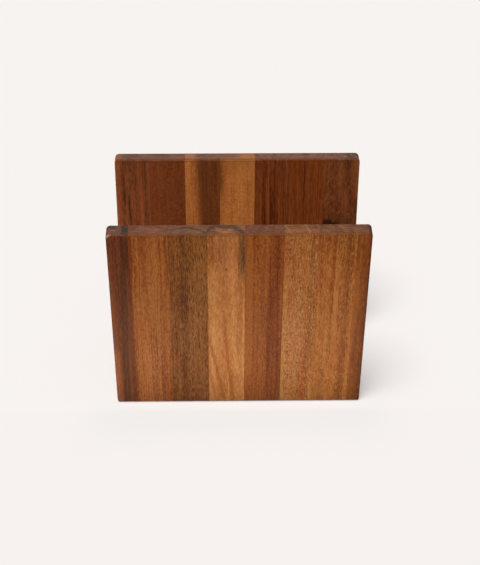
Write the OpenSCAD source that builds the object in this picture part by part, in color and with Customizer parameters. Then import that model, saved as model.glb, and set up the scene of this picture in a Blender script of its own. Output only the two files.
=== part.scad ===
/* [Holder] */
// Width of the side panels
holder_w = 152; // [110:1:220]
// Height of the side panels over the table
holder_h = 132; // [80:1:200]
// Clear width between the side panels, at the table
slot_w = 56; // [46:1:110]
// Outward lean of each side panel, in degrees
lean = 3.75; // [0:0.25:8]

/* [Boards] */
// Thickness of the side panels
panel_t = 10; // [8:0.5:16]
// Thickness of the base
base_t = 10; // [8:0.5:16]
// How far each end of the base stands in from the panels' side edges
base_inset = 2; // [1.5:0.5:6]
// Radius of the sanded edges
edge_r = 1.2; // [0.4:0.1:1.8]
// Radius of the panels' corners, seen from the front
corner_r = 2.4; // [2:0.1:6]
// Bevel on the panels' outer edge at the table
foot_bevel = 0.8; // [0.3:0.1:1.5]

/* [Staves] */
// Staves across the back panel
stave_count = 7; // [4:1:9]
// Share of a stave that is left at the left end of the base
base_cut_share = 0.3; // [0.2:0.01:0.6]

/* [Dowels] */
// Dowels along each side of the base
dowel_count = 3; // [2:1:5]
// Diameter of a dowel
dowel_d = 6; // [4:0.5:6.5]
// Length of a dowel
dowel_l = 24; // [16:0.5:26]
// How far a dowel reaches into its side panel
dowel_reach = 6; // [4:0.25:6.5]
// Distance from the end of the base to the first dowel's axis
dowel_inset = 24; // [10:1:40]
// Chamfer on a dowel's ends
dowel_chamfer = 0.8; // [0.3:0.1:1.5]
// Glue flutes round a dowel
flute_count = 10; // [6:1:14]
// Radius of a glue flute
flute_r = 0.3; // [0.1:0.05:0.4]
// Gap between a dowel and the wall of its hole
glue_gap = 0.05; // [0.01:0.01:0.1]
// Space left in the hole past each end of a dowel
end_gap = 0.5; // [0.2:0.1:1]

/* [Hidden] */
$fn = 64;
// What a cutting shape runs past the solid that it cuts
overrun = 5;

// Where the front panel's seams lie, as shares of its width
front_seam_shares = [0.083, 0.230, 0.379, 0.523, 0.669, 0.802, 0.944];

// Width of a stave, and the slope length and sloped thickness of a side panel
stave_w = holder_w / stave_count;
slope_h = holder_h / cos(lean);
foot_t = panel_t / cos(lean);
// How far a side panel's top leans out past its foot
lean_out = holder_h * tan(lean);

// Base ends, dowel holes and dowel places
base_w = holder_w - 2 * base_inset;
base_end_y = slot_w / 2 + base_t / 2 * tan(lean);
hole_d = dowel_d + 2 * glue_gap;
hole_l = dowel_l + 2 * end_gap;
dowel_z = base_t / 2;
dowel_mid_y = base_end_y + dowel_reach - dowel_l / 2;
dowel_pitch = (base_w - 2 * dowel_inset) / (dowel_count - 1);

// Seams of a board whose first stave is cut to a share of its width
function seams(width, cut_share) = [
    -width / 2,
    for (x = [-width / 2 + cut_share * stave_w : stave_w : width / 2 - edge_r]) x,
    width / 2
];
back_seams = seams(holder_w, 1);
front_seams = [-holder_w / 2, for (share = front_seam_shares) (share - 1 / 2) * holder_w, holder_w / 2];
base_seams = seams(base_w, base_cut_share);

dowel_places = [for (i = [0 : dowel_count - 1]) -base_w / 2 + dowel_inset + i * dowel_pitch];

function stave_names(board, seam_list) =
    [for (i = [1 : len(seam_list) - 1]) str(board, "_stave_", i)];
function dowel_names(board) = [for (i = [1 : dowel_count]) str(board, "_dowel_", i)];

// Tones of the staves, left to right
FRONT_TONES = ["#5b2f1c", "#90562b", "#6f4727", "#b27741", "#7d4422", "#9a6335", "#94582b", "#7a4423"];
BACK_TONES = ["#6b3518", "#642e14", "#8a5a2c", "#97602f", "#622c11", "#6d3414", "#62361c"];
BASE_TONES = ["#7a4423", "#94582b", "#5f2f1a", "#8a5a2c", "#9a6335", "#6d3414", "#90562b", "#6f4727"];
DOWEL_TONE = "#d2b48c";
function tone(tones, i) = tones[i % len(tones)];

// Points where a rounded corner starts and ends, and the centre of its arc
function unit(v) = v / norm(v);
function half_angle(a, p, b) = acos(unit(a - p) * unit(b - p)) / 2;
function corner_points(a, p, b, r) = r == 0 ? [p] : [
    p + unit(a - p) * r / tan(half_angle(a, p, b)),
    p + unit(b - p) * r / tan(half_angle(a, p, b))
];
function corner_centre(a, p, b, r) =
    p + unit(unit(a - p) + unit(b - p)) * r / sin(half_angle(a, p, b));

// A convex outline whose corners are rounded, each by its own radius
module eased_outline(points, radii) {
    n = len(points);
    before = [for (i = [0 : n - 1]) points[(i + n - 1) % n]];
    after = [for (i = [0 : n - 1]) points[(i + 1) % n]];
    polygon([
        for (i = [0 : n - 1])
            each corner_points(before[i], points[i], after[i], radii[i])
    ]);
    for (i = [0 : n - 1])
        if (radii[i] > 0)
            translate(corner_centre(before[i], points[i], after[i], radii[i]))
                circle(r = radii[i]);
}

// A rectangle from one corner to the other, with all its corners rounded
module eased_rectangle(low, high, r) {
    eased_outline([low, [high.x, low.y], high, [low.x, high.y]], [r, r, r, r]);
}

// Runs a shape drawn in Y and Z along X, from x0 to x1
module along_x(x0, x1) {
    translate([x0, 0, 0]) rotate([90, 0, 90]) linear_extrude(x1 - x0) children();
}

// Runs a shape drawn in X and Z along Y, from y0 to y1
module along_y(y0, y1) {
    translate([0, y1, 0]) rotate([90, 0, 0]) linear_extrude(y1 - y0) children();
}

// Cross section of a side panel's board between its corners, with sanded top edges
module board_section() {
    eased_outline(
        [[0, -overrun], [panel_t, -overrun], [panel_t, slope_h], [0, slope_h]],
        [0, 0, edge_r, edge_r]
    );
}

// Half of the board's sanded side edge, as wide as its corner is round
module corner_profile() {
    intersection() {
        eased_rectangle([-corner_r, 0], [corner_r, panel_t], edge_r);
        square([corner_r, panel_t]);
    }
}

// A side panel's board before its foot is planed: X across, Y through it from the inner face, Z up the slope
module board() {
    shoulder_h = slope_h - corner_r;
    corner_x = holder_w / 2 - corner_r;
    along_x(-corner_x, corner_x) board_section();
    translate([0, 0, -overrun])
        linear_extrude(shoulder_h + overrun)
            eased_rectangle([-holder_w / 2, 0], [holder_w / 2, panel_t], edge_r);
    for (x = [-corner_x, corner_x])
        translate([x, 0, shoulder_h]) rotate([-90, 0, 0]) rotate_extrude() corner_profile();
}

// What the planed foot keeps, seen from the front: level at the table, with rounded corners
module foot_front() {
    top = holder_h + overrun;
    eased_outline(
        [[-holder_w / 2, 0], [holder_w / 2, 0], [holder_w / 2, top], [-holder_w / 2, top]],
        [corner_r, corner_r, 0, 0]
    );
}

// What the bevel along the foot keeps, seen from the end
module foot_end() {
    bevel_y = slot_w / 2 + foot_t - foot_bevel;
    reach = lean_out + foot_bevel + overrun;
    polygon([
        [0, -overrun], [bevel_y - overrun, -overrun], [bevel_y + reach, reach],
        [bevel_y + reach, holder_h + overrun], [0, holder_h + overrun]
    ]);
}

// One side panel in one piece, at the back
module panel_blank() {
    intersection() {
        translate([0, slot_w / 2, 0]) rotate([-lean, 0, 0]) board();
        along_y(0, slot_w + lean_out + foot_t) foot_front();
        along_x(-holder_w / 2 - overrun, holder_w / 2 + overrun) foot_end();
    }
}

// The part of a solid between two seams
module between(x0, x1) {
    reach_y = slot_w / 2 + lean_out + foot_t + overrun;
    intersection() {
        children();
        translate([x0, -reach_y, -overrun])
            cube([x1 - x0, 2 * reach_y, holder_h + 2 * overrun]);
    }
}

// The blind holes for one side's dowels, at the back
module dowel_holes() {
    for (x = dowel_places)
        translate([x, dowel_mid_y - hole_l / 2, dowel_z])
            rotate([-90, 0, 0]) cylinder(h = hole_l, d = hole_d);
}

// Stave i of the back panel
module back_stave(i) {
    color(tone(BACK_TONES, i - 1))
        difference() {
            between(back_seams[i - 1], back_seams[i]) panel_blank();
            dowel_holes();
        }
}

// Stave i of the front panel, which leans the other way
module front_stave(i) {
    color(tone(FRONT_TONES, i - 1))
        mirror([0, 1, 0])
            difference() {
                between(front_seams[i - 1], front_seams[i]) panel_blank();
                dowel_holes();
            }
}

// The base in one piece: its long edges are bevelled to the panels' lean
module base_blank() {
    top_half_w = slot_w / 2 + base_t * tan(lean);
    intersection() {
        along_y(-top_half_w, top_half_w)
            eased_rectangle([-base_w / 2, 0], [base_w / 2, base_t], edge_r);
        along_x(-base_w / 2, base_w / 2)
            polygon([
                [-slot_w / 2, 0], [slot_w / 2, 0],
                [top_half_w, base_t], [-top_half_w, base_t]
            ]);
    }
}

// Stave i of the base, whose grain runs from front to back
module base_stave(i) {
    color(tone(BASE_TONES, i - 1))
        difference() {
            between(base_seams[i - 1], base_seams[i]) base_blank();
            dowel_holes();
            mirror([0, 1, 0]) dowel_holes();
        }
}

// A fluted dowel with chamfered ends, at the back or the front
module dowel(i) {
    r = dowel_d / 2;
    tip_r = r - dowel_chamfer;
    color(DOWEL_TONE)
        translate([dowel_places[i - 1], dowel_mid_y - dowel_l / 2, dowel_z])
            rotate([-90, 0, 0])
                difference() {
                    rotate_extrude()
                        polygon([
                            [0, 0], [tip_r, 0], [r, dowel_chamfer],
                            [r, dowel_l - dowel_chamfer], [tip_r, dowel_l], [0, dowel_l]
                        ]);
                    for (k = [0 : flute_count - 1])
                        rotate([0, 0, k * 360 / flute_count])
                            translate([r, 0, -overrun])
                                cylinder(h = dowel_l + 2 * overrun, r = flute_r);
                }
}

for (i = [1 : len(front_seams) - 1])
    front_stave(i);
for (i = [1 : len(back_seams) - 1])
    back_stave(i);
for (i = [1 : len(base_seams) - 1])
    base_stave(i);
for (i = [1 : dowel_count])
    dowel(i);
for (i = [1 : dowel_count])
    mirror([0, 1, 0]) dowel(i);
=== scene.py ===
import math
from collections import namedtuple

import bmesh
import bpy
from mathutils import Euler, Matrix, Vector


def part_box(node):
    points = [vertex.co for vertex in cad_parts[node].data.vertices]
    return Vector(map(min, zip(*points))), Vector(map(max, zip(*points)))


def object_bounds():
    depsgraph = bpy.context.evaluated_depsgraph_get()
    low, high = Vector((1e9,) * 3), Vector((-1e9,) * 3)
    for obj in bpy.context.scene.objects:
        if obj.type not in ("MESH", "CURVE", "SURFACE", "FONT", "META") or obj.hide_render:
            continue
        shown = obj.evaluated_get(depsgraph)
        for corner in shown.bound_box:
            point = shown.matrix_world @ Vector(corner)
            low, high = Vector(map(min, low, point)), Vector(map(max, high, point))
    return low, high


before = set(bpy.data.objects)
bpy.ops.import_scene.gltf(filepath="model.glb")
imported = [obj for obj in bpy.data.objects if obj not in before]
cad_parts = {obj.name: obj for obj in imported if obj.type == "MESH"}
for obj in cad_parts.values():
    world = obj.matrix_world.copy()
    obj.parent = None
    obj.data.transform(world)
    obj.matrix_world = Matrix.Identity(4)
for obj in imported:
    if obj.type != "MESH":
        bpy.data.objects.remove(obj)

CAD_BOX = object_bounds()

# The scene is in metres: a millimetre there, and how many of them a metre has
MM = 0.001
PER_METRE = 1.0 / MM

# Sizes of the holder that the grain is laid out by, in millimetres, and the side panels' lean
HOLDER_W = (CAD_BOX[1][0] - CAD_BOX[0][0]) / MM
HOLDER_H = 132.0
PANEL_T = 10.0
HALF_SLOT = 28.0
LEAN = math.radians(3.75)
SLOPE_H = HOLDER_H / math.cos(LEAN)
MID_H = HOLDER_H / 2

# Which board a stave belongs to. A side panel's figure is also its side of the slot, along Y.
FRONT = -1
BASE = 0
BACK = 1


# Colours are written as they look, and turned into the shader's linear values

def linear(part):
    """Undoes the curve that a screen's colours are stored with."""
    return part / 12.92 if part <= 0.04045 else ((part + 0.055) / 1.055) ** 2.4


def tint(code, light=1.0):
    parts = [int(code[i:i + 2], 16) / 255 for i in (1, 3, 5)]
    return (*[linear(part) * light for part in parts], 1.0)


# The wood's patterns: waves per millimetre across, through and along the grain, and how rough they are

Pattern = namedtuple("Pattern", "scale detail roughness", defaults=(2.0, 0.5))

WANDER = Pattern((0.03, 0.03, 0.011))
QUIVER = Pattern((0.22, 0.22, 0.05))
JAGS = Pattern((0.8, 0.8, 0.12), 3.0, 0.7)
CLOUDS = Pattern((0.09, 0.09, 0.014))
FIGURE = Pattern((0.30, 0.30, 0.09), 2.0, 0.6)
CURLS = Pattern((0.3, 0.3, 0.8), 1.0)
WARM_PLACES = Pattern((0.35, 0.35, 0.02), 3.0, 0.6)
DASHES = Pattern((1.7, 1.7, 0.28), 1.0, 0.4)
SPECKS = Pattern((3.6, 3.6, 0.5), 1.0, 0.4)
SCRATCHES = Pattern((0.28, 1.7, 1.7), 3.0, 0.7)
DUST = Pattern((1.3, 1.3, 1.3), 1.0)
WORN_AND_HIGHLIT_PLACES = Pattern((0.22, 0.5, 0.22), 3.0, 0.7)
CHIPPED_PLACES = Pattern((1.2, 1.2, 1.2), 1.0)
RIBS = Pattern((3.4, 3.4, 0.05), 3.0, 0.6)
SHEEN = Pattern((0.7, 0.7, 0.05), 3.0, 0.6)
RING_DETAIL = 3.0
RING_ROUGHNESS = 0.6

# Fibres and hairs: each look sets the fibres' width and the hairs' length, and these are the rest of the two
FIBRE_ALONG = 0.012
FIBRE_GRAIN = (3.0, 0.6)
HAIR_ACROSS = 1.5
HAIR_GRAIN = (2.0, 0.65)

# The middle of the noise's values, which run from 0 to 1
MIDDLE = 0.5

# How far the fibres leave a straight line, in millimetres: streaks less, and the fine grain more
STREAK_WANDER = 1.6
STREAK_QUIVER = 0.8
GRAIN_WANDER = 4.0
GRAIN_QUIVER = 1.3

# How far apart the staves lie in the noise, for each step of the seed
SEED_STEPS = (31.7, 17.1, 211.3)
SEED_RING_STEP = 7.3

# A coat over the wood: its colour, its strength, and the two limits between which it sets in or ends.
# The limits are in millimetres for what lies along an edge or a foot, in shares of its size for a knot, and
# values of the noise for the rest.

Coat = namedtuple("Coat", "colour strength limits")

WARMTH = Coat(tint("#b0602a"), 1.0, (0.38, 0.66))
KNOT_HALO = Coat(tint("#5e3219"), 0.4, (0.6, 3.2))
KNOT_HEART = Coat(tint("#2a140c"), 0.85, (0.3, 1.4))
# A painted sheen: the front face turns paler and whiter towards its foot
PAINTED_SHEEN = Coat(tint("#d8b48e"), 0.034, (52.0, 124.0))
# A painted shade along the side panels' feet
PAINTED_FOOT_SHADE = Coat(tint("#3a1f12"), 0.4, (0.5, 2.6))
END_RINGS = Coat(tint("#45342d"), 0.35, (0.34, 0.56))
PALE_SCRATCHES = Coat(tint("#a5755c"), 0.50, (0.50, 0.72))
DARK_SCRATCHES = Coat(tint("#38241c"), 0.55, (0.28, 0.48))
END_DUST = Coat(tint("#b8927c"), 0.5, (0.70, 0.76))
# Painted shade along the arris between a side panel's top and its seen face, on the front and the back board
FRONT_LIP_SHADE = Coat(tint("#6c3f21"), 1.0, (0.6, 2.2))
BACK_LIP_SHADE = Coat(tint("#4c2816"), 1.0, (0.6, 2.2))
SEAM_LINE = Coat(tint("#2c160d"), 0.3, (0.03, 0.16))
GLUE_LINE = Coat(tint("#2c160d"), 1.0, (0.10, 0.40))
# Paler arrises: rubbed wear, and partly a painted highlight
RUBBED_AND_HIGHLIT = Coat(tint("#b06a38"), 0.2, (0.48, 0.66))
CHIPS = Coat(tint("#c9a184"), 0.5, (0.66, 0.72))
# A painted highlight on an upper corner
PAINTED_CORNER_HIGHLIGHT = tint("#dcb9a0")

# Light of a pore, a glint and a stain's two tones, against the colour that each is made from
PORE_LIGHT = 0.42
GLINT_LIGHT = 1.35
STAIN_LIGHTS = (0.6, 1.45)


# Where the colour mixing node takes its share and its two colours, and gives its result
MIX_SHARE = 0
MIX_BELOW = 6
MIX_ABOVE = 7
MIX_RESULT = 2


# Materials: a socket that can be added up like a number, and a sheet of nodes

class Value:
    """One output of a sheet's nodes."""

    def __init__(self, sheet, socket):
        self.sheet, self.socket = sheet, socket

    def __add__(self, other):
        return self.sheet.math("ADD", self, other)

    def __radd__(self, other):
        return self.sheet.math("ADD", other, self)

    def __sub__(self, other):
        return self.sheet.math("SUBTRACT", self, other)

    def __rsub__(self, other):
        return self.sheet.math("SUBTRACT", other, self)

    def __mul__(self, other):
        return self.sheet.math("MULTIPLY", self, other)

    def __rmul__(self, other):
        return self.sheet.math("MULTIPLY", other, self)

    def __truediv__(self, other):
        return self.sheet.math("DIVIDE", self, other)


class Sheet:
    """The nodes of one material, or of the world."""

    def __init__(self, owner):
        owner.use_nodes = True
        self.owner, self.tree = owner, owner.node_tree
        self.tree.nodes.clear()

    def node(self, kind, settings=None, sockets=None, output=0):
        made = self.tree.nodes.new(kind)
        for name, value in (settings or {}).items():
            setattr(made, name, value)
        for name, value in (sockets or {}).items():
            if isinstance(value, Value):
                self.tree.links.new(value.socket, made.inputs[name])
            else:
                made.inputs[name].default_value = value
        return Value(self, made.outputs[output]) if made.outputs else None

    def math(self, operation, *values):
        return self.node("ShaderNodeMath", {"operation": operation}, dict(enumerate(values)))

    def absolute(self, value):
        return self.math("ABSOLUTE", value)

    def smaller(self, value, other):
        return self.math("MINIMUM", value, other)

    def larger(self, value, other):
        return self.math("MAXIMUM", value, other)

    def distance(self, off_x, off_y):
        return self.math("SQRT", off_x * off_x + off_y * off_y)

    def fade(self, value, start, end, first=0.0, last=1.0):
        """0 at start and 1 at end, or first and last instead, eased at both."""
        return self.node(
            "ShaderNodeMapRange",
            {"interpolation_type": "SMOOTHSTEP"},
            {"Value": value, "From Min": start, "From Max": end, "To Min": first, "To Max": last},
        )

    def ramp_down(self, value, start, end):
        """1 at start and 0 at end, eased at both."""
        return self.fade(value, start, end, 1.0, 0.0)

    def object_place(self):
        """The point in the object's own metres."""
        return self.node("ShaderNodeTexCoord", output="Object")

    def stretch(self, vector, scale):
        return self.node("ShaderNodeVectorMath", {"operation": "MULTIPLY"}, {0: vector, 1: scale})

    def shift(self, vector, step):
        return self.node("ShaderNodeVectorMath", {"operation": "ADD"}, {0: vector, 1: step})

    def noise(self, vector, pattern):
        return self.node(
            "ShaderNodeTexNoise",
            {"noise_dimensions": "3D"},
            {
                "Vector": self.stretch(vector, pattern.scale), "Scale": 1.0,
                "Detail": pattern.detail, "Roughness": pattern.roughness,
            },
        )

    def noise_along(self, value, detail, roughness):
        return self.node(
            "ShaderNodeTexNoise",
            {"noise_dimensions": "1D"},
            {"W": value, "Scale": 1.0, "Detail": detail, "Roughness": roughness},
        )

    def split(self, vector):
        made = self.node("ShaderNodeSeparateXYZ", {}, {0: vector}).socket.node
        return [Value(self, output) for output in made.outputs]

    def join(self, x, y, z):
        return self.node("ShaderNodeCombineXYZ", {}, {0: x, 1: y, 2: z})

    def blend(self, share, below, above):
        """Colour below, covered by colour above where share is 1."""
        sockets = {MIX_SHARE: share, MIX_BELOW: below, MIX_ABOVE: above}
        return self.node("ShaderNodeMix", {"data_type": "RGBA"}, sockets, MIX_RESULT)

    def cover(self, share, below, coat):
        """Colour below, covered by a coat where share is 1."""
        return self.blend(share * coat.strength, below, coat.colour)

    def seen_by_camera(self):
        """1 for what the camera sees, and 0 for what light meets."""
        return self.node("ShaderNodeLightPath", output="Is Camera Ray")

    def blend_shaders(self, share, below, above):
        return self.node("ShaderNodeMixShader", {}, {0: share, 1: below, 2: above})

    def surface(self, sockets):
        shader = self.node("ShaderNodeBsdfPrincipled", {}, sockets)
        self.node("ShaderNodeOutputMaterial", {}, {"Surface": shader})
        return self.owner


# Where a board's grain runs: X across the stave, Y through the board, Z along the grain

def panel_turn(side):
    """Turn and origin of a side panel's grain."""
    return Euler((side * LEAN, 0, 0)), Vector((0, side * HALF_SLOT, 0))


def base_turn():
    """Turn and origin of the base's grain, which runs from front to back."""
    return Euler((math.pi / 2, 0, 0)), Vector((0, 0, 0))


def grain_place(sheet, turn, origin, middle_x):
    """The point in the stave's own millimetres."""
    step = -(turn.to_matrix() @ (origin + Vector((middle_x, 0, 0))))
    return sheet.node(
        "ShaderNodeMapping",
        {"vector_type": "POINT"},
        {"Vector": sheet.object_place(), "Location": step, "Rotation": turn, "Scale": (PER_METRE,) * 3},
    )


# What can lie in a stave, in millimetres from its middle, up from its foot, and behind its seen face.
# A streak runs along the grain, and may start or end on the way. It drifts sideways for each millimetre up,
# and slants for each millimetre behind the face. Its depth is how much paler it makes the wood, or darker
# below 0, or how strong its own colour is.

Streak = namedtuple(
    "Streak", "at half depth soft low high drift slant jagged colour",
    defaults=(2.0, None, None, 0.0, 0.0, 0.8, None),
)
Patch = namedtuple("Patch", "colour x z half_x half_z strength")
Ripples = namedtuple("Ripples", "x z half_x half_z bend depth")
Knot = namedtuple("Knot", "x z half_x half_z")

# What shows on a stave's upper end only: a soft spot, and a part of a growth ring

Spot = namedtuple("Spot", "colour x behind half_x half_behind strength")
Arc = namedtuple("Arc", "colour x behind radius half strength")

# Over how many millimetres a streak starts or ends, on either side of its limit
STREAK_END = 9.0

# Where an oval fades out, in shares of its half size, and an arc, in shares of its half width
OVAL_LIMITS = (0.45, 1.25)
ARC_SHARES = (0.4, 1.6)

# How ragged the outlines are
RAGGED_PATCH = 0.8
RAGGED_SPOT = 0.6
RAGGED_ARC = 0.8
RAGGED_KNOT = 1.2

# How fibres part round a knot: how many of its half widths away that reaches, what a distance along the grain
# counts for in it, and how strongly they move
PARTING_REACH = 6
PARTING_FLATTEN = 0.3
PARTING_PUSH = 0.6


class Look:
    """How one stave's wood looks.

    The tree's heart (pith), the rings' pitch, the fibres' width and the hairs' length are in millimetres.
    The depths, fibres, hairs, clouds, figure, glints, warmth and the last two are strengths.
    """

    def __init__(
        self, pale, deep, seed,
        pith=(0.0, 60.0), ring_pitch=3.0, ring_depth=0.25, sway=0.8,
        fibre_w=1.25, fibres=0.4, hair_l=3.3, hairs=0.6, clouds=0.2, figure=0.2,
        pore_share=0.4, pore_depth=0.45, glints=0.35, warmth=0.12,
        streaks=(), patches=(), ripples=(), knots=(),
        end="#745348", end_marks=(), rubbed_corner=0.0, glue_line=0.0,
    ):
        self.pale, self.deep, self.seed = tint(pale), tint(deep), seed
        self.pore, self.glint = tint(deep, PORE_LIGHT), tint(pale, GLINT_LIGHT)
        self.pith, self.ring_pitch, self.ring_depth, self.sway = pith, ring_pitch, ring_depth, sway
        self.fibre_pattern = Pattern((1.0 / fibre_w, 1.0 / fibre_w, FIBRE_ALONG), *FIBRE_GRAIN)
        self.hair_pattern = Pattern((HAIR_ACROSS, HAIR_ACROSS, 1.0 / hair_l), *HAIR_GRAIN)
        self.fibres, self.hairs, self.clouds, self.figure = fibres, hairs, clouds, figure
        self.pore_share, self.pore_depth, self.glints, self.warmth = pore_share, pore_depth, glints, warmth
        self.streaks, self.patches, self.ripples, self.knots = streaks, patches, ripples, knots
        self.end, self.end_marks = tint(end), end_marks
        self.rubbed_corner, self.glue_line = rubbed_corner, glue_line
        self.start = tuple(seed * step for step in SEED_STEPS)


class Grain:
    """Where a point of a stave lies among its fibres, and the few patterns that all its layers share."""

    def __init__(self, sheet, place, look, side):
        self.sheet, self.look = sheet, look
        self.x, y, self.z = sheet.split(place)
        # Depths: through the board, for a side panel from its inner face, and behind the face that is seen
        self.through = y * (-1.0 if side == FRONT else 1.0)
        self.behind = PANEL_T - self.through if side == FRONT else self.through
        self.seeded = sheet.shift(place, look.start)
        wander = sheet.noise(self.seeded, WANDER) - MIDDLE
        quiver = sheet.noise(self.seeded, QUIVER) - MIDDLE
        self.bent = self.x + wander * STREAK_WANDER + quiver * STREAK_QUIVER
        self.across = self.x + wander * (look.sway * GRAIN_WANDER) + quiver * GRAIN_QUIVER
        for knot in look.knots:
            self.part_round(knot)
        self.fibre = sheet.shift(sheet.join(self.across, self.through, self.z), look.start)
        self.jag = self.noise(JAGS) - MIDDLE

    def part_round(self, knot):
        """Fibres part round a knot: they move away from its axis."""
        off_x = self.across - knot.x
        off_z = (self.z - knot.z) * PARTING_FLATTEN
        near = self.sheet.ramp_down(self.sheet.distance(off_x, off_z), 0.0, knot.half_x * PARTING_REACH)
        self.across = self.across - off_x * near * PARTING_PUSH

    def noise(self, pattern):
        return self.sheet.noise(self.fibre, pattern)

    def rings(self):
        """Growth rings round the tree's heart, which lies somewhere behind or beside the stave."""
        heart_x, heart_y = self.look.pith
        ring_r = self.sheet.distance(self.across - heart_x, self.through - heart_y)
        ring = ring_r / self.look.ring_pitch + self.look.seed * SEED_RING_STEP
        return self.sheet.noise_along(ring, RING_DETAIL, RING_ROUGHNESS)

    def run(self, streak):
        """1 inside a streak, and 0 beside it."""
        sheet = self.sheet
        off = self.bent - streak.at
        if streak.drift:
            off = off - (self.z - MID_H) * streak.drift
        if streak.slant:
            off = off - self.behind * streak.slant
        off = sheet.absolute(off) + self.jag * streak.jagged
        inside = sheet.ramp_down(off, streak.half - streak.soft / 2, streak.half + streak.soft / 2)
        if streak.low is not None:
            inside = inside * sheet.fade(self.z, streak.low - STREAK_END, streak.low + STREAK_END)
        if streak.high is not None:
            inside = inside * sheet.ramp_down(self.z, streak.high - STREAK_END, streak.high + STREAK_END)
        return inside

    def oval(self, off_x, off_y, ragged):
        """1 in the middle of a soft oval, and 0 outside it."""
        return self.sheet.ramp_down(self.sheet.distance(off_x, off_y) + self.jag * ragged, *OVAL_LIMITS)

    def patch(self, patch):
        off_x = (self.x - patch.x) / patch.half_x
        return self.oval(off_x, (self.z - patch.z) / patch.half_z, RAGGED_PATCH)

    def spot(self, spot):
        off_x = (self.x - spot.x) / spot.half_x
        return self.oval(off_x, (self.behind - spot.behind) / spot.half_behind, RAGGED_SPOT)

    def arc(self, arc):
        ring_r = self.sheet.distance(self.x - arc.x, self.behind - arc.behind)
        off = self.sheet.absolute(ring_r - arc.radius) + self.jag * RAGGED_ARC
        return self.sheet.ramp_down(off, *[arc.half * share for share in ARC_SHARES])

    def end_mark(self, mark):
        """1 inside a spot or an arc of the stave's end."""
        return self.spot(mark) if isinstance(mark, Spot) else self.arc(mark)


# Plain noise stays near its middle: fibres, hairs and curls are spread by limits, and the rest by a gain

FIBRE_LIMITS = (0.28, 0.72)
CURL_LIMITS = (0.3, 0.7)
SOFT_GAIN = 2.4


def wood_tone(grain, rings):
    """How pale the wood is, about 0 to 1: rings, fibres, hairs, clouds, figure, streaks and curls."""
    sheet, look = grain.sheet, grain.look
    fibres = sheet.fade(grain.noise(look.fibre_pattern), *FIBRE_LIMITS)
    hairs = sheet.fade(grain.noise(look.hair_pattern), *FIBRE_LIMITS)
    tone = (
        MIDDLE
        + (rings - MIDDLE) * (look.ring_depth * SOFT_GAIN)
        + (fibres - MIDDLE) * look.fibres
        + (hairs - MIDDLE) * look.hairs
        + (grain.noise(CLOUDS) - MIDDLE) * (look.clouds * SOFT_GAIN)
        + (grain.noise(FIGURE) - MIDDLE) * (look.figure * SOFT_GAIN)
    )
    for streak in look.streaks:
        if not streak.colour:
            tone = tone + grain.run(streak) * streak.depth
    for ripples in look.ripples:
        off = grain.x - ripples.x
        arc = sheet.join(grain.x, grain.through, grain.z + off * off * ripples.bend)
        curl = sheet.fade(sheet.noise(arc, CURLS), *CURL_LIMITS) - MIDDLE
        tone = tone + curl * grain.patch(ripples) * ripples.depth
    return tone


def lay_stains(grain, tone, colour):
    """Coloured streaks and patches, which go right through the stave and keep its texture."""
    sheet, look = grain.sheet, grain.look
    stains = [(streak.colour, grain.run(streak) * streak.depth) for streak in look.streaks if streak.colour]
    stains += [(patch.colour, grain.patch(patch) * patch.strength) for patch in look.patches]
    for code, share in stains:
        deep, pale = [tint(code, light) for light in STAIN_LIGHTS]
        colour = sheet.blend(share, colour, sheet.blend(tone, deep, pale))
    return colour


def lay_knots(grain, colour):
    sheet = grain.sheet
    for knot in grain.look.knots:
        off = sheet.distance((grain.x - knot.x) / knot.half_x, (grain.z - knot.z) / knot.half_z)
        off = off + grain.jag * RAGGED_KNOT
        for coat in (KNOT_HALO, KNOT_HEART):
            colour = sheet.cover(sheet.ramp_down(off, *coat.limits), colour, coat)
    return colour


# Pores: the noise that they start at where they are fewest, how much sooner they start where there are most,
# and how soft they are. Specks, the fine pores, start a little later and are fainter. Pores are sparse in
# some rings and crowded in others.

FEWEST_PORES = 0.70
MOST_PORES_STEP = 0.15
PORE_SOFT = 0.09
SPECK_STEP = 0.01
SPECK_STRENGTH = 0.7
SPARSE_SHARE = 0.45
CROWDED_RINGS = (0.40, 0.62)


def lay_flecks(grain, rings, colour):
    """Pores: short dark dashes along the grain. Glints: short pale ones."""
    sheet, look = grain.sheet, grain.look
    edge = FEWEST_PORES - MOST_PORES_STEP * look.pore_share
    coarse = grain.noise(DASHES)
    dashes = sheet.fade(coarse, edge, edge + PORE_SOFT)
    specks = sheet.fade(grain.noise(SPECKS), edge + SPECK_STEP, edge + PORE_SOFT)
    crowd = SPARSE_SHARE + (1.0 - SPARSE_SHARE) * sheet.ramp_down(rings, *CROWDED_RINGS)
    pores = sheet.larger(dashes, specks * SPECK_STRENGTH) * crowd * look.pore_depth
    glints = sheet.ramp_down(coarse, 1.0 - edge - PORE_SOFT, 1.0 - edge) * look.glints
    colour = sheet.blend(glints, colour, look.glint)
    return pores, sheet.blend(pores, colour, look.pore)


# How far an arris is worn, partly as a painted highlight, and how far a painted highlight reaches round an
# upper corner, in millimetres

ARRIS_LIMITS = (0.1, 1.1)
CORNER_HIGHLIGHT_LIMITS = (1.6, 3.6)


def panel_edges(sheet, x, through, along):
    """How near a point is to a side panel's arrises and to its upper corners, from 0 to 1."""
    from_face = sheet.smaller(through, PANEL_T - through)
    from_top = SLOPE_H - along
    from_side = HOLDER_W / 2 - sheet.absolute(x)
    near_face = sheet.ramp_down(from_face, *ARRIS_LIMITS)
    arris = near_face * sheet.ramp_down(sheet.smaller(from_top, from_side), *ARRIS_LIMITS)
    corner = near_face * sheet.ramp_down(from_top + from_side, *CORNER_HIGHLIGHT_LIMITS)
    return arris, corner


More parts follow.
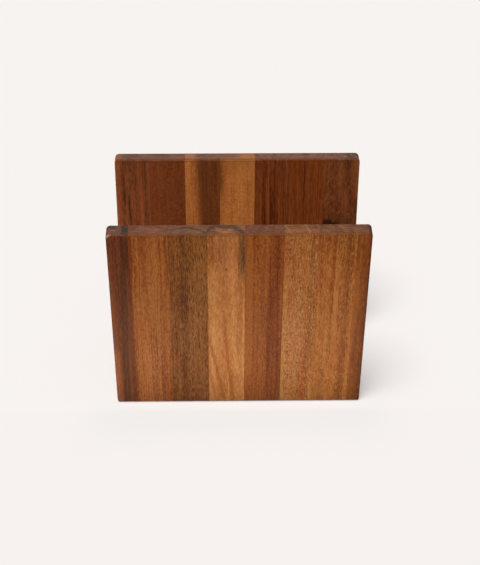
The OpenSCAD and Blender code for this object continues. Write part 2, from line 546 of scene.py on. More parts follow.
def lay_wear_and_highlights(grain, middle_x, colour):
    """A side panel's arrises are worn paler, partly as a painted highlight, with small chips, and an upper
    corner gets a painted highlight.
    """
    sheet = grain.sheet
    arris, corner = panel_edges(sheet, grain.x + middle_x, grain.through, grain.z)
    # Rubbed wear along the arrises, partly a painted highlight
    rubbed = arris * sheet.fade(sheet.noise(grain.seeded, WORN_AND_HIGHLIT_PLACES), *RUBBED_AND_HIGHLIT.limits)
    colour = sheet.cover(rubbed, colour, RUBBED_AND_HIGHLIT)
    chips = arris * sheet.fade(sheet.noise(grain.seeded, CHIPPED_PLACES), *CHIPS.limits)
    colour = sheet.cover(chips, colour, CHIPS)
    # A painted highlight on an upper corner
    return sheet.blend(corner * grain.look.rubbed_corner, colour, PAINTED_CORNER_HIGHLIGHT)


# The grain's ends: how square to the fibres a surface is where they show, how ragged that limit is, and how
# much of the wood's own colour they cover. The lip is a painted shade along the arris between an end and the
# seen face: how strong it is on the end and on the face, how far down it reaches, and how ragged it is.

END_LIMITS = (0.60, 0.90)
RAGGED_END = 0.5
END_COVER = 0.62
LIP_ON_END = 0.6
LIP_ON_FACE = 0.4
LIP_DEPTH_LIMITS = (0.9, 1.9)
RAGGED_LIP = 2.0


def end_grain(grain, turn):
    """1 where the surface cuts across the fibres, as on the panels' tops and feet, with a ragged limit."""
    sheet = grain.sheet
    normal = sheet.node("ShaderNodeTexCoord", output="Normal")
    turned = sheet.node("ShaderNodeMapping", {"vector_type": "NORMAL"}, {"Vector": normal, "Rotation": turn})
    return sheet.fade(sheet.absolute(sheet.split(turned)[2]) + grain.jag * RAGGED_END, *END_LIMITS)


def lay_end(grain, rings, on_end, side, colour):
    """The ends of the grain drink more oil: they look greyer, partly as a painted reflection, with darker
    rings and sanding scratches, and a painted shade runs along the lip.
    """
    sheet, look = grain.sheet, grain.look
    # The end colour: darker end grain, greyed partly as a painted reflection
    colour = sheet.blend(on_end * END_COVER, colour, look.end)
    colour = sheet.cover(on_end * sheet.ramp_down(rings, *END_RINGS.limits), colour, END_RINGS)
    for mark in look.end_marks:
        colour = sheet.blend(on_end * grain.end_mark(mark) * mark.strength, colour, tint(mark.colour))
    scratches = sheet.noise(grain.seeded, SCRATCHES)
    pale = on_end * sheet.fade(scratches, *PALE_SCRATCHES.limits)
    colour = sheet.cover(pale, colour, PALE_SCRATCHES)
    dark = on_end * sheet.ramp_down(scratches, *DARK_SCRATCHES.limits)
    colour = sheet.cover(dark, colour, DARK_SCRATCHES)
    dust = on_end * sheet.fade(sheet.noise(grain.seeded, DUST), *END_DUST.limits)
    colour = sheet.cover(dust, colour, END_DUST)
    # A painted shade along the lip, on the end and just under it on the seen face
    lip_shade_coat = FRONT_LIP_SHADE if side == FRONT else BACK_LIP_SHADE
    lip_shade = sheet.ramp_down(grain.behind + grain.jag, *lip_shade_coat.limits)
    upper = sheet.ramp_down(SLOPE_H - grain.z + grain.jag * RAGGED_LIP, *LIP_DEPTH_LIMITS)
    return sheet.cover(sheet.larger(on_end * LIP_ON_END, upper * LIP_ON_FACE) * lip_shade, colour, lip_shade_coat)


# How much of a strong glue line the end grain hides
GLUE_HIDDEN_ON_END = 0.8


def lay_seams(grain, half_w, on_end, colour):
    """A fine dark line at both seams, and at the right one of some staves a stronger line of glue."""
    sheet, look = grain.sheet, grain.look
    seam = sheet.ramp_down(half_w - sheet.absolute(grain.x), *SEAM_LINE.limits)
    colour = sheet.cover(seam, colour, SEAM_LINE)
    if look.glue_line:
        glue = sheet.ramp_down(half_w - grain.x, *GLUE_LINE.limits) * (1.0 - on_end * GLUE_HIDDEN_ON_END)
        colour = sheet.cover(glue * look.glue_line, colour, GLUE_LINE)
    return seam, colour


# The oiled surface: how rough it is, how much that varies with the sheen, the pores and the ends,
# how deep its fine ribs, pores and seams are, and how it mirrors

ROUGHNESS = 0.50
SHEEN_STEP = 0.22
PORE_ROUGHER = 0.12
END_ROUGHER = 0.08
PORE_DIP = 0.9
SEAM_DIP = 0.6
RIB_DEPTH = 0.12 * MM
RIB_STRENGTH = 0.35
OIL_IOR = 1.45
OIL_SPECULAR = 0.05


def wood(name, turn, origin, middle_x, half_w, look, side):
    """The material of one stave."""
    sheet = Sheet(bpy.data.materials.new(name))
    grain = Grain(sheet, grain_place(sheet, turn, origin, middle_x), look, side)
    rings = grain.rings()
    tone = wood_tone(grain, rings)
    colour = sheet.blend(tone, look.deep, look.pale)
    warm = sheet.fade(grain.noise(WARM_PLACES), *WARMTH.limits)
    colour = sheet.cover(warm * look.warmth, colour, WARMTH)
    colour = lay_knots(grain, lay_stains(grain, tone, colour))
    pores, colour = lay_flecks(grain, rings, colour)
    # A painted sheen, paler towards the front face's foot
    if side == FRONT:
        colour = sheet.cover(sheet.ramp_down(grain.z, *PAINTED_SHEEN.limits), colour, PAINTED_SHEEN)
    # A painted shade along the foot of a side panel
    if side != BASE:
        colour = sheet.cover(sheet.ramp_down(grain.z, *PAINTED_FOOT_SHADE.limits), colour, PAINTED_FOOT_SHADE)
    on_end = end_grain(grain, turn)
    colour = lay_end(grain, rings, on_end, side, colour)
    seam, colour = lay_seams(grain, half_w, on_end, colour)
    if side != BASE:
        colour = lay_wear_and_highlights(grain, middle_x, colour)
    height = (grain.noise(RIBS) - pores * PORE_DIP) - seam * SEAM_DIP
    bump = sheet.node(
        "ShaderNodeBump", {}, {"Height": height, "Strength": RIB_STRENGTH, "Distance": RIB_DEPTH},
    )
    sheen = (grain.noise(SHEEN) - MIDDLE) * SHEEN_STEP
    rough = ROUGHNESS + sheen + pores * PORE_ROUGHER + on_end * END_ROUGHER
    return sheet.surface({
        "Base Color": colour, "Roughness": rough, "Normal": bump,
        "IOR": OIL_IOR, "Specular IOR Level": OIL_SPECULAR,
    })


# The dowels' pale beech, with fibres and short dark flecks along Y

BEECH_FIBRES = Pattern((3.0, 0.05, 3.0), 3.0, 0.6)
BEECH_FLECKS = Pattern((4.0, 0.6, 4.0), 1.0)
BEECH_DEEP = tint("#b98f62")
BEECH_PALE = tint("#e0c49b")
BEECH_FLECK = Coat(tint("#8a5c38"), 0.5, (0.62, 0.72))
BEECH_ROUGHNESS = 0.62
BEECH_SHEEN_STEP = 0.15
BEECH_RIB_DEPTH = 0.1 * MM
BEECH_RIB_STRENGTH = 0.3


def beech():
    sheet = Sheet(bpy.data.materials.new("beech_dowel"))
    place = sheet.stretch(sheet.object_place(), (PER_METRE,) * 3)
    fibres = sheet.noise(place, BEECH_FIBRES)
    flecks = sheet.fade(sheet.noise(place, BEECH_FLECKS), *BEECH_FLECK.limits)
    colour = sheet.cover(flecks, sheet.blend(fibres, BEECH_DEEP, BEECH_PALE), BEECH_FLECK)
    bump = sheet.node(
        "ShaderNodeBump", {}, {"Height": fibres, "Strength": BEECH_RIB_STRENGTH, "Distance": BEECH_RIB_DEPTH},
    )
    rough = BEECH_ROUGHNESS + (fibres - MIDDLE) * BEECH_SHEEN_STEP
    return sheet.surface({"Base Color": colour, "Roughness": rough, "Normal": bump})


# The staves' woods, left to right. A look begins with its pale and deep tones and its seed.

# The back board's end colour: darker end grain, greyed partly as a painted reflection
BACK_END = "#846757"

FRONT_LOOKS = [
    # Dark reddish heartwood, with a very dark band right of its middle, and a painted highlight on its upper
    # outer corner
    Look(
        "#713d1f", "#511e0a", 1,
        pith=(40, 30), ring_pitch=2.4, sway=0.5, fibre_w=0.7, fibres=0.45, hairs=0.7, clouds=0.1,
        figure=0.1, pore_share=0.2, glints=0.2, warmth=0.05, end="#7c5b50", rubbed_corner=0.7,
        streaks=[
            Streak(1.5, 2.0, 0.55, 1.8, high=106, drift=0.018, jagged=1.4, colour="#3e200f"),
            Streak(2.5, 2.0, 0.53, 2.0, low=104, drift=0.03, jagged=1.4, colour="#3e200f"),
            Streak(0.2, 0.5, -0.25, 1.4, high=90, drift=0.01, jagged=1.6),
            Streak(5.6, 0.8, -0.2, 1.6, high=60),
            Streak(-5.2, 0.9, 0.6, 1.6, high=96),
            Streak(-2.4, 1.4, 0.25, 2.0, high=34),
            Streak(-4.4, 2.0, 0.6, 2.4, high=44, colour="#84492a"),
        ],
        patches=[Patch("#4c2916", -3.0, 130, 6, 18, 0.12)],
        end_marks=[
            Spot("#33302e", 4.6, 5, 2.5, 16, 0.85),
            Spot("#332e2c", -3.6, 7.6, 4.0, 2.6, 0.6),
            Spot("#96705e", -3.0, 4.6, 3.6, 0.6, 0.5),
        ],
    ),
    # Orange brown, darker at its left edge
    Look(
        "#99602a", "#702d06", 2,
        pith=(-30, 70), ring_pitch=4.0, fibre_w=0.8, fibres=0.75, hair_l=2.6, hairs=0.8, clouds=0.1,
        figure=0.12, pore_depth=0.5, glints=0.5, warmth=0.2,
        streaks=[
            Streak(-10.6, 0.8, -0.35, 1.6),
            Streak(-4.2, 1.2, 0.3, 2.4, low=12, high=54),
            Streak(-4.0, 1.8, 0.25, 2.6, low=40, high=92),
            Streak(-7.6, 1.4, -0.28, 2.6, low=86, high=112),
            Streak(-5.8, 1.4, -0.35, 2.4, low=117),
            Streak(7.0, 2.6, -0.3, 3.0, high=42),
            Streak(2.0, 3.0, 0.2, 3.0, low=72),
            Streak(-2.0, 1.6, 0.25, 2.4, high=44),
        ],
        patches=[
            Patch("#8f5230", 1.0, 26, 9, 28, 0.35),
            Patch("#80481e", -2.0, 130, 12, 14, 0.4),
        ],
        ripples=[
            Ripples(5.0, 32, 8, 16, 0.02, 0.3),
            Ripples(-3.0, 70, 8, 18, -0.03, 0.3),
        ],
        end_marks=[
            Spot("#a86a52", 4.7, 5.4, 3.6, 0.5, 0.6),
            Spot("#4c3c36", -8.5, 8, 3, 3, 0.45),
        ],
    ),
    # Greyish brown, full of pores, with a dark band left of its middle
    Look(
        "#8c5524", "#5a2805", 3,
        pith=(8, 90), ring_pitch=5.0, sway=0.7, fibre_w=0.9, fibres=0.6, hairs=0.75, pore_share=1.0,
        pore_depth=0.75, warmth=0.0, end="#785a4b",
        streaks=[
            Streak(-2.4, 1.7, 0.5, 2.8, low=36, slant=0.1, jagged=2.2, colour="#4e2c14"),
            Streak(-3.8, 1.9, -0.6, 3.0, high=40, jagged=1.6),
            Streak(-7.6, 1.4, 0.35, 2.6, high=42),
            Streak(2.5, 4.5, 0.25, 3.5, low=32, high=68),
            Streak(-8.4, 1.8, 0.4, 2.4, low=66, high=84),
            Streak(-3.2, 3.0, -0.35, 3.0, low=66, high=98),
            Streak(-5.6, 1.4, 0.4, 2.4, low=116),
            Streak(2.4, 1.4, -0.35, 2.4, low=112),
            Streak(-8.6, 2.4, -0.4, 3.0, high=88, jagged=1.2),
            Streak(5.0, 3.5, 0.3, 4.0, low=62),
            Streak(9.6, 1.6, 0.35, 2.0, low=60),
        ],
        patches=[
            Patch("#7a5228", 4.0, 110, 9, 40, 0.25),
            Patch("#7a4526", 6.0, 14, 7, 18, 0.3),
        ],
        end_marks=[
            Arc("#403634", -0.5, -3.5, 10.7, 0.8, 0.4),
            Arc("#443934", 3.5, -3.5, 8.8, 0.8, 0.35),
            Spot("#4a3a33", 10, 0.5, 2.5, 3, 0.5),
        ],
    ),
    # Pale golden, with slanting lines low down, a pin knot, and a grey brown mark at the top right
    Look(
        "#bd844b", "#91511d", 4,
        pith=(-20, 45), ring_pitch=6.0, sway=0.9, fibre_w=2.0, fibres=0.35, hairs=0.65,
        pore_share=0.5, pore_depth=0.4, glints=0.3, warmth=0.22,
        streaks=[
            Streak(-1.7, 0.7, -0.85, 2.2, high=62, drift=-0.092, jagged=1.0),
            Streak(-12.8, 0.9, -0.85, 2.4, high=50, drift=-0.177, jagged=1.0),
            Streak(-15.4, 0.6, -0.6, 1.6, high=28, drift=-0.133, jagged=1.0),
            Streak(-6.8, 2.4, 0.2, 4.0, low=14, high=70),
            Streak(-9.0, 2.0, -0.35, 2.6, low=108),
            Streak(2.0, 1.2, 0.2, 2.4, low=30, high=66, drift=-0.11),
            Streak(8.8, 1.9, 1.0, 1.5, low=105, slant=-0.5, jagged=1.4, colour="#44321f"),
            Streak(3.4, 1.2, -0.35, 2.2, high=34),
            Streak(-4.2, 1.6, 0.2, 2.6, low=34, high=66),
            Streak(-5.0, 1.2, 0.25, 2.2, low=118),
            Streak(10.0, 0.9, 0.25, 1.6, low=30, high=80),
            Streak(10.6, 0.8, -0.3, 1.6, low=88, high=112),
        ],
        patches=[
            Patch("#90552a", 0.0, 126, 13, 24, 0.75),
            Patch("#a4653a", 1.5, 98, 9, 24, 0.35),
        ],
        ripples=[
            Ripples(-3.0, 114, 7, 10, 0.05, 0.15),
            Ripples(0.0, 78, 9, 8, 0.03, 0.25),
        ],
        knots=[Knot(0.1, 107.0, 0.45, 0.55)],
        end_marks=[
            Arc("#3c3432", -1.5, -4.0, 12.4, 1.6, 0.7),
            Spot("#ae7040", 0.4, 0.4, 5.0, 3.8, 0.75),
            Spot("#4a2c1a", -2.6, 0.4, 0.6, 1.0, 0.7),
            Spot("#4a2c1a", 1.6, 0.9, 0.6, 0.8, 0.6),
            Spot("#c89468", 2.2, 4.4, 2.0, 0.6, 0.5),
        ],
    ),
    # Reddish brown, darker towards its right edge, where the glue shows
    Look(
        "#935320", "#5e2204", 5,
        pith=(35, 25), ring_pitch=3.5, ring_depth=0.18, sway=0.6, fibre_w=0.8, fibres=0.5,
        hair_l=2.2, hairs=0.75, clouds=0.1, figure=0.12, pore_share=0.35, glints=0.4, warmth=0.08,
        end="#6c4c41", glue_line=0.75,
        streaks=[
            Streak(6.4, 4.0, -0.12, 3.4),
            Streak(6.6, 4.6, -0.18, 2.8, high=54),
            Streak(3.2, 1.2, -0.3, 2.0, low=64, high=92),
            Streak(5.2, 1.4, -0.4, 2.6, low=48, high=96),
            Streak(9.7, 1.2, 0.15, 2.0, low=46),
            Streak(1.2, 1.0, 0.4, 2.0, low=82),
            Streak(-1.0, 0.8, 0.25, 2.0, high=56),
            Streak(-9.0, 1.9, 0.42, 2.6, low=22),
            Streak(-4.2, 1.8, 0.25, 2.6, low=60, high=108),
        ],
        end_marks=[
            Arc("#453a38", -25.5, -4.0, 18.6, 0.9, 0.4),
            Arc("#54413a", -25.5, -4.0, 27.0, 0.8, 0.3),
        ],
    ),
    # Golden brown and curly
    Look(
        "#a8773e", "#7b320d", 6,
        pith=(5, 55), ring_pitch=4.5, ring_depth=0.18, sway=1.2, fibres=0.3, hair_l=2.2, hairs=1.0,
        figure=0.25, pore_share=0.5, glints=0.6, warmth=0.3, end="#85583f",
        streaks=[
            Streak(3.0, 1.4, -0.25, 2.6, high=48),
            Streak(5.2, 1.8, -0.24, 3.0, high=62, jagged=3.0),
            Streak(5.4, 0.4, 0.45, 1.2, low=40, high=70, jagged=5.0, colour="#54341a"),
            Streak(5.2, 0.7, 0.45, 1.2, low=84, high=97, jagged=4.0, colour="#54341a"),
            Streak(-8.8, 1.4, 0.25, 2.4, high=104),
            Streak(8.2, 2.2, -0.35, 2.4, low=114),
            Streak(-7.0, 1.2, 0.25, 2.2, low=98, high=114),
            Streak(0.2, 1.4, 0.2, 2.4, low=86, high=112),
            Streak(8.6, 1.6, 0.3, 2.4, high=18),
        ],
        patches=[
            Patch("#76522c", 7.0, 112, 2.6, 16, 0.35),
            Patch("#a86e44", -2.0, 50, 8, 30, 0.3),
            Patch("#7c4f24", 8.4, 42, 2.2, 16, 0.4),
        ],
        ripples=[
            Ripples(-8.0, 46, 7, 20, 0.09, 0.6),
            Ripples(1.0, 90, 9, 20, -0.04, 0.4),
            Ripples(0.0, 22, 9, 16, 0.03, 0.4),
        ],
        end_marks=[
            Arc("#b57a54", -20, -2, 14.0, 0.5, 0.4),
            Arc("#b57a54", -20, -2, 24.6, 0.5, 0.4),
            Arc("#ad7350", -20, -2, 31.0, 0.4, 0.35),
            Spot("#5a4034", 7.5, 6.0, 2.0, 2.0, 0.5),
        ],
    ),
    # Golden brown, with a dark band right of its middle
    Look(
        "#a97034", "#732d09", 7,
        pith=(-40, 40), ring_pitch=3.2, sway=1.2, fibre_w=0.9, fibres=0.45, hair_l=2.4, hairs=0.8,
        figure=0.15, warmth=0.3, end="#6f4e40",
        streaks=[
            Streak(6.3, 1.5, 0.75, 2.4, jagged=1.6, colour="#764016"),
            Streak(6.2, 1.8, -0.3, 2.6, high=46, jagged=1.6),
            Streak(6.8, 1.6, -0.4, 2.0, low=114),
            Streak(0.6, 1.0, 0.3, 2.2, low=50, high=114, jagged=1.4),
            Streak(-5.0, 1.0, 0.25, 2.0, low=36, high=66),
            Streak(-2.2, 1.4, 0.3, 2.6, high=34),
            Streak(-1.6, 1.0, -0.3, 2.0, low=92),
            Streak(-9.6, 1.4, -0.3, 2.4, low=92),
        ],
        patches=[Patch("#874d1a", 0.0, 128, 13, 18, 0.45)],
        ripples=[
            Ripples(6.0, 55, 6, 10, 0.05, 0.4),
            Ripples(-2.0, 24, 8, 14, -0.03, 0.3),
        ],
    ),
    # Dark reddish brown, darker still at its right edge
    Look(
        "#904f1d", "#5a2706", 8,
        pith=(-25, 30), sway=0.5, fibre_w=0.7, fibres=0.6, hairs=0.5, clouds=0.1, figure=0.15,
        pore_share=0.6, warmth=0.05,
        streaks=[
            Streak(-3.7, 1.1, 0.45, 2.4, low=26, high=112),
            Streak(3.2, 1.6, -0.55, 3.4),
            Streak(0.0, 4.0, 0.2, 3.0, low=84),
            Streak(3.2, 1.2, -0.35, 2.4, low=50, high=98),
            Streak(-2.4, 2.0, 0.35, 2.6, high=32),
            Streak(-3.4, 0.9, -0.3, 2.0, low=104),
            Streak(0.0, 4.0, -0.2, 3.0, high=40),
        ],
        # A painted shade at its foot, right of its middle
        patches=[Patch("#3a1c0e", 3.9, 1.5, 2.0, 3.5, 0.5)],
        end_marks=[Spot("#2e211c", 3.6, 5, 1.6, 8, 0.7)],
    ),
]

BACK_LOOKS = [
    # Red, with two nearly black streaks left of its middle
    Look(
        "#a4562d", "#63361e", 11,
        pith=(30, 40), ring_pitch=2.6, sway=0.4, fibre_w=0.9, hairs=0.5, clouds=0.1, pore_share=0.6,
        pore_depth=0.6, glints=0.3, end=BACK_END,
        streaks=[
            Streak(-4.6, 0.8, 0.55, 1.4, low=100, high=119, drift=-0.02, jagged=3.0, colour="#1c100d"),
            Streak(-5.6, 1.6, -0.3, 2.6, low=98),
            Streak(-1.5, 0.3, 0.8, 0.8, low=84, high=109, drift=-0.03, jagged=2.0, colour="#120a09"),
            Streak(-2.6, 1.2, -0.3, 2.4, low=80, high=112),
            Streak(1.9, 0.8, -0.2, 2.0, jagged=1.6),
            Streak(8.0, 1.6, -0.1, 3.0, jagged=1.6),
            Streak(-7.0, 1.0, -0.25, 2.0),
            Streak(0.5, 1.2, -0.25, 2.0, low=120),
            Streak(5.5, 1.0, 0.3, 2.0, high=106),
            Streak(-3.0, 1.4, -0.3, 2.6, low=119),
            Streak(6.5, 1.4, -0.25, 2.4, low=118),
            Streak(3.4, 1.0, -0.25, 2.0, high=112),
            Streak(-9.4, 1.2, 0.25, 2.4, high=108),
        ],
        end_marks=[
            Spot("#a0643f", -8.5, 4, 2.4, 6, 0.5),
            Spot("#4a3a30", 0.0, 6, 5.0, 4, 0.35),
        ],
    ),
    # Plain red
    Look(
        "#8f4d2c", "#672e09", 12,
        pith=(0, 120), ring_pitch=5.0, ring_depth=0.12, fibres=0.2, hair_l=1.8, hairs=0.7,
        clouds=0.1, pore_share=0.2, glints=0.7, end=BACK_END,
        streaks=[Streak(7.5, 5.5, -0.05, 8.0)],
        end_marks=[Spot("#4f382c", -3.0, 6, 7.0, 4, 0.4)],
    ),
    # Golden, with a broad dark band over its right half
    Look(
        "#e5944c", "#862f12", 13,
        pith=(-30, 60), ring_pitch=4.0, fibres=0.3, hair_l=1.8, hairs=0.33, clouds=0.1,
        pore_share=0.2, glints=0.2, end=BACK_END,
        streaks=[
            Streak(6.8, 8.9, 0.82, 6.0, drift=-0.03, colour="#68361b"),
            Streak(2.4, 2.0, 0.35, 3.0, drift=-0.02, colour="#43200c"),
        ],
        end_marks=[
            Spot("#b0744a", -7.8, 5, 4.0, 12, 0.5),
            Spot("#6b4636", 3.0, 6, 6.0, 4, 0.15),
        ],
    ),
    # Golden, with a dark band high up along its left edge
    Look(
        "#eea454", "#993014", 14,
        pith=(10, 90), ring_pitch=5.0, ring_depth=0.15, sway=1.2, fibre_w=0.8, fibres=0.2,
        hair_l=1.8, hairs=0.28, clouds=0.25, pore_share=0.2, pore_depth=0.3, end=BACK_END,
        streaks=[
            Streak(-10.8, 2.2, 0.75, 3.6, low=108, colour="#5a2f12"),
            Streak(-7.2, 1.4, -0.2, 2.6, low=104),
        ],
        patches=[Patch("#a86230", 0.0, 132, 12, 12, 0.5)],
        ripples=[Ripples(-2.0, 98, 8, 16, 0.03, 0.2)],
        end_marks=[
            Spot("#6b4a36", -6.0, 6, 7.0, 5, 0.5),
            Spot("#b87440", 7.5, 3.5, 6.0, 5, 0.6),
        ],
    ),
    # Dark red, with fine stripes
    Look(
        "#944c23", "#4e1e0a", 15,
        pith=(40, 30), ring_pitch=2.4, ring_depth=0.15, sway=0.5, fibre_w=0.8, fibres=0.6,
        hair_l=5.0, hairs=0.55, clouds=0.1, figure=0.12, pore_share=0.2, glints=0.3, end=BACK_END,
        streaks=[
            Streak(-8.0, 3.0, 0.25, 4.0),
            Streak(-5.1, 0.8, -0.35, 1.4),
            Streak(-2.4, 0.5, 0.6, 1.0),
            Streak(-0.6, 1.2, 0.2, 2.0, low=110),
            Streak(0.8, 1.6, -0.25, 1.8),
            Streak(-2.8, 0.6, -0.4, 1.6, low=116),
            Streak(-9.4, 1.2, -0.25, 2.0, low=118),
        ],
    ),
    # Reddish brown, with one fine dark line left of its middle
    Look(
        "#8d4822", "#6a2d05", 16,
        pith=(-50, 30), ring_depth=0.2, sway=0.5, fibre_w=0.8, fibres=0.7, hair_l=5.0, hairs=0.75,
        clouds=0.05, pore_share=0.25, glints=0.3, end=BACK_END,
        streaks=[
            Streak(-1.5, 0.4, 0.6, 0.9, jagged=0.6, colour="#3f1a0a"),
            Streak(2.6, 0.9, -0.15, 1.8),
        ],
        end_marks=[Spot("#45352c", -1.0, 7, 2.5, 2.5, 0.5)],
    ),
    # Brown, with a dark knot left of its middle
    Look(
        "#834925", "#401105", 17,
        pith=(15, 40), ring_pitch=3.5, ring_depth=0.2, sway=1.6, fibres=0.35, clouds=0.15,
        figure=0.3, pore_share=0.5, end=BACK_END,
        streaks=[
            Streak(-9.0, 2.0, 0.35, 3.0, low=98),
            Streak(-0.4, 1.1, 0.2, 2.2, low=106),
            Streak(9.6, 1.4, 0.6, 3.0, low=106, jagged=1.6),
            Streak(-1.0, 1.6, -0.35, 2.6, high=104),
            Streak(7.0, 1.4, 0.35, 2.4, low=118),
            Streak(4.0, 1.4, 0.35, 2.6, low=97, high=110),
        ],
        patches=[Patch("#45290f", -2.0, 87, 10, 7, 0.4)],
        ripples=[Ripples(3.0, 92, 8, 8, -0.05, 0.5)],
        knots=[Knot(-6.8, 86.8, 5.6, 3.3)],
        end_marks=[
            Spot("#3a2e28", 6.5, 5.5, 5.5, 5, 0.55),
            Spot("#b99a86", 2.0, 4, 1.0, 0.8, 0.5),
            Spot("#a08474", 6.0, 6.0, 0.7, 0.7, 0.5),
            Spot("#a08474", 8.6, 3.6, 0.7, 0.7, 0.5),
        ],
    ),
]

BASE_LOOKS = [
    Look("#94552e", "#653418", 21, pith=(30, 40)),
    Look("#b4713c", "#83481f", 22, pith=(-30, 60)),
    Look("#7c4428", "#522a18", 23, pith=(35, 25)),
    Look("#c08548", "#955c30", 24, pith=(-20, 45)),
    Look("#ab7444", "#7d4e2b", 25, pith=(5, 55)),
    Look("#8a431c", "#622c11", 26, pith=(-50, 30)),
    Look("#b06d38", "#7f451e", 27, pith=(20, 70)),
    Look("#8b5a35", "#5a361d", 28, pith=(8, 90)),
]


def dress(piece, material):
    piece.data.materials.clear()
    piece.data.materials.append(material)


def dress_board(board, looks, turn, origin, side):
    """Gives each stave of a board its own wood, centred on the stave."""
    for number, look in enumerate(looks, 1):
        name = f"{board}_stave_{number}"
        low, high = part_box(name)
        middle = (low.x + high.x) / 2 / MM
        half_w = (high.x - low.x) / 2 / MM
        dress(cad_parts[name], wood(f"acacia_{name}", turn, origin, middle, half_w, look, side))


def dress_dowels():
    material = beech()
    for name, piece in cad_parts.items():
        if "dowel" in name:
            dress(piece, material)


# The studio: a pale floor, soft lamps and the camera. Its places and sizes are in metres.

BACKGROUND = "#f7f2ef"

# The front board's foot, as if it stood upright, and the holder's right side
FOOT_Y = -(HALF_SLOT + PANEL_T) * MM
SIDE_X = HOLDER_W / 2 * MM

# The floor: how far it reaches, how far under the holder it lies, and its paint
FLOOR_REACH = 6.0
FLOOR_GAP = 0.0002
FLOOR_PAINT = tint("#f5f1ee")

# The share of plain background that the camera sees on the floor, behind and in front of the holder's foot,
# where one goes over into the other, and how much lighter the plain share is behind
PLAIN_SHARE = 0.37
PLAIN_SHARE_AHEAD = 0.93
AHEAD_LIMITS = (FOOT_Y - 0.012, FOOT_Y + 0.001)
LIGHT_BEHIND = 1.045

# The shade in front of the holder's foot: where it sets in, and where it ends at the sides
FOOT_SHADE = tint("#f1edea")
FOOT_SHADE_LIMITS = (FOOT_Y - 0.057, FOOT_Y - 0.008)
FOOT_SHADE_SIDES = (SIDE_X - 0.006, SIDE_X + 0.034)

# The light from all round: its colour and strength
SOFT_LIGHT = (1.0, 0.99, 0.98, 1.0)
SOFT_STRENGTH = 0.13

# The key lamp: which way it lies, its strength and how broad it is
KEY_FROM = (-0.154, -0.3, 0.9415)
KEY_STRENGTH = 2.9
KEY_SPREAD = math.radians(26)

# The card in front of the holder: its size, its place and its power
CARD_W = 0.3
CARD_L = 0.08
CARD_PLACE = (0, FOOT_Y - 0.065, 0.001)
CARD_POWER = 0.108

# The camera, as fitted to the holder's outline in the photograph, with its lens and sensor in millimetres
CAMERA_PLACE = Vector((-11.14, -663.63, 536.23)) * MM
CAMERA_PITCH = math.radians(35.377)
CAMERA_YAW = math.radians(1.076)
CAMERA_ROLL = math.radians(0.281)
CAMERA_LENS = 82.982
CAMERA_SENSOR = 36.0
CAMERA_NEAR = 0.01
CAMERA_FAR = 50.0


def add_to_scene(name, data):
    made = bpy.data.objects.new(name, data)
    bpy.context.scene.collection.objects.link(made)
    return made


def pale_floor():
    """A wide floor, just under the holder."""
    shape = bmesh.new()
    bmesh.ops.create_grid(shape, x_segments=1, y_segments=1, size=FLOOR_REACH)
    bmesh.ops.translate(shape, verts=shape.verts, vec=(0, 0, -FLOOR_GAP))
    mesh = bpy.data.meshes.new("floor")
    shape.to_mesh(mesh)
    shape.free()
    mesh.materials.append(floor_finish())
    floor = add_to_scene("floor", mesh)


def floor_finish():
    """A matt pale floor. The camera sees it partly as plain background, most of all in front of the foot."""
    sheet = Sheet(bpy.data.materials.new("pale_floor"))
    matt = sheet.node("ShaderNodeBsdfDiffuse", {}, {"Color": FLOOR_PAINT})
    across, ahead, _ = sheet.split(sheet.object_place())
    in_front = sheet.ramp_down(ahead, *AHEAD_LIMITS)
    beside = sheet.ramp_down(sheet.absolute(across), *FOOT_SHADE_SIDES)
    near_foot = sheet.fade(ahead, *FOOT_SHADE_LIMITS) * beside
    plain_colour = sheet.blend(near_foot, tint(BACKGROUND), FOOT_SHADE)
    plain_colour = sheet.blend(in_front, tint(BACKGROUND, LIGHT_BEHIND), plain_colour)
    plain = sheet.node("ShaderNodeEmission", {}, {"Color": plain_colour, "Strength": 1.0})
    share = PLAIN_SHARE + in_front * (PLAIN_SHARE_AHEAD - PLAIN_SHARE)
    both = sheet.blend_shaders(sheet.seen_by_camera() * share, matt, plain)
    sheet.node("ShaderNodeOutputMaterial", {}, {"Surface": both})
    return sheet.owner


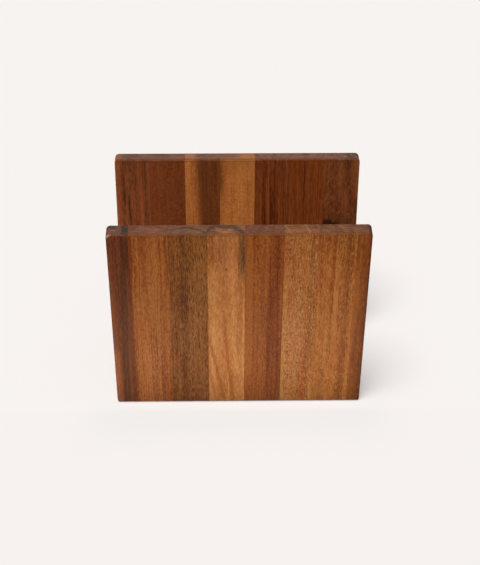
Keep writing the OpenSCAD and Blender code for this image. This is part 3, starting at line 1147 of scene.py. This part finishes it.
def studio_world():
    """Soft light from all round, and a plain background for the camera."""
    sheet = Sheet(bpy.data.worlds.new("studio"))
    light = sheet.node("ShaderNodeBackground", {}, {"Color": SOFT_LIGHT, "Strength": SOFT_STRENGTH})
    plain = sheet.node("ShaderNodeBackground", {}, {"Color": tint(BACKGROUND), "Strength": 1.0})
    both = sheet.blend_shaders(sheet.seen_by_camera(), light, plain)
    sheet.node("ShaderNodeOutputWorld", {}, {"Surface": both})
    bpy.context.scene.world = sheet.owner


def key_lamp():
    """A broad, distant lamp, so the floor is lit evenly."""
    data = bpy.data.lights.new("key_lamp", "SUN")
    data.energy = KEY_STRENGTH
    data.angle = KEY_SPREAD
    lamp = add_to_scene("key_lamp", data)
    lamp.rotation_euler = Vector(KEY_FROM).to_track_quat("Z", "Y").to_euler()


def reflector_card():
    """A card lying face up in front of the holder, which lifts the lower half of its front."""
    data = bpy.data.lights.new("reflector_card", "AREA")
    data.shape = "RECTANGLE"
    data.size = CARD_W
    data.size_y = CARD_L
    data.energy = CARD_POWER
    card = add_to_scene("reflector_card", data)
    card.location = CARD_PLACE
    card.rotation_euler = (math.pi, 0, 0)
    card.visible_camera = False


def camera_turn():
    """The camera's axes as a matrix: right, up and backward."""
    level = math.cos(CAMERA_PITCH)
    ahead = Vector((math.sin(CAMERA_YAW) * level, math.cos(CAMERA_YAW) * level, -math.sin(CAMERA_PITCH)))
    right = Vector((math.cos(CAMERA_YAW), -math.sin(CAMERA_YAW), 0))
    up = right.cross(ahead)
    turned_right = right * math.cos(CAMERA_ROLL) + up * math.sin(CAMERA_ROLL)
    turned_up = up * math.cos(CAMERA_ROLL) - right * math.sin(CAMERA_ROLL)
    return Matrix((turned_right, turned_up, -ahead)).transposed()


def photo_camera():
    data = bpy.data.cameras.new("photo_camera")
    data.lens = CAMERA_LENS
    data.sensor_width = CAMERA_SENSOR
    data.sensor_fit = "AUTO"
    data.clip_start = CAMERA_NEAR
    data.clip_end = CAMERA_FAR
    camera = add_to_scene("photo_camera", data)
    camera.matrix_world = Matrix.Translation(CAMERA_PLACE) @ camera_turn().to_4x4()
    bpy.context.scene.camera = camera


dress_board("front", FRONT_LOOKS, *panel_turn(FRONT), FRONT)
dress_board("back", BACK_LOOKS, *panel_turn(BACK), BACK)
dress_board("base", BASE_LOOKS, *base_turn(), BASE)
dress_dowels()
pale_floor()
studio_world()
key_lamp()
reflector_card()
photo_camera()
bpy.context.scene.view_settings.view_transform = "Standard"
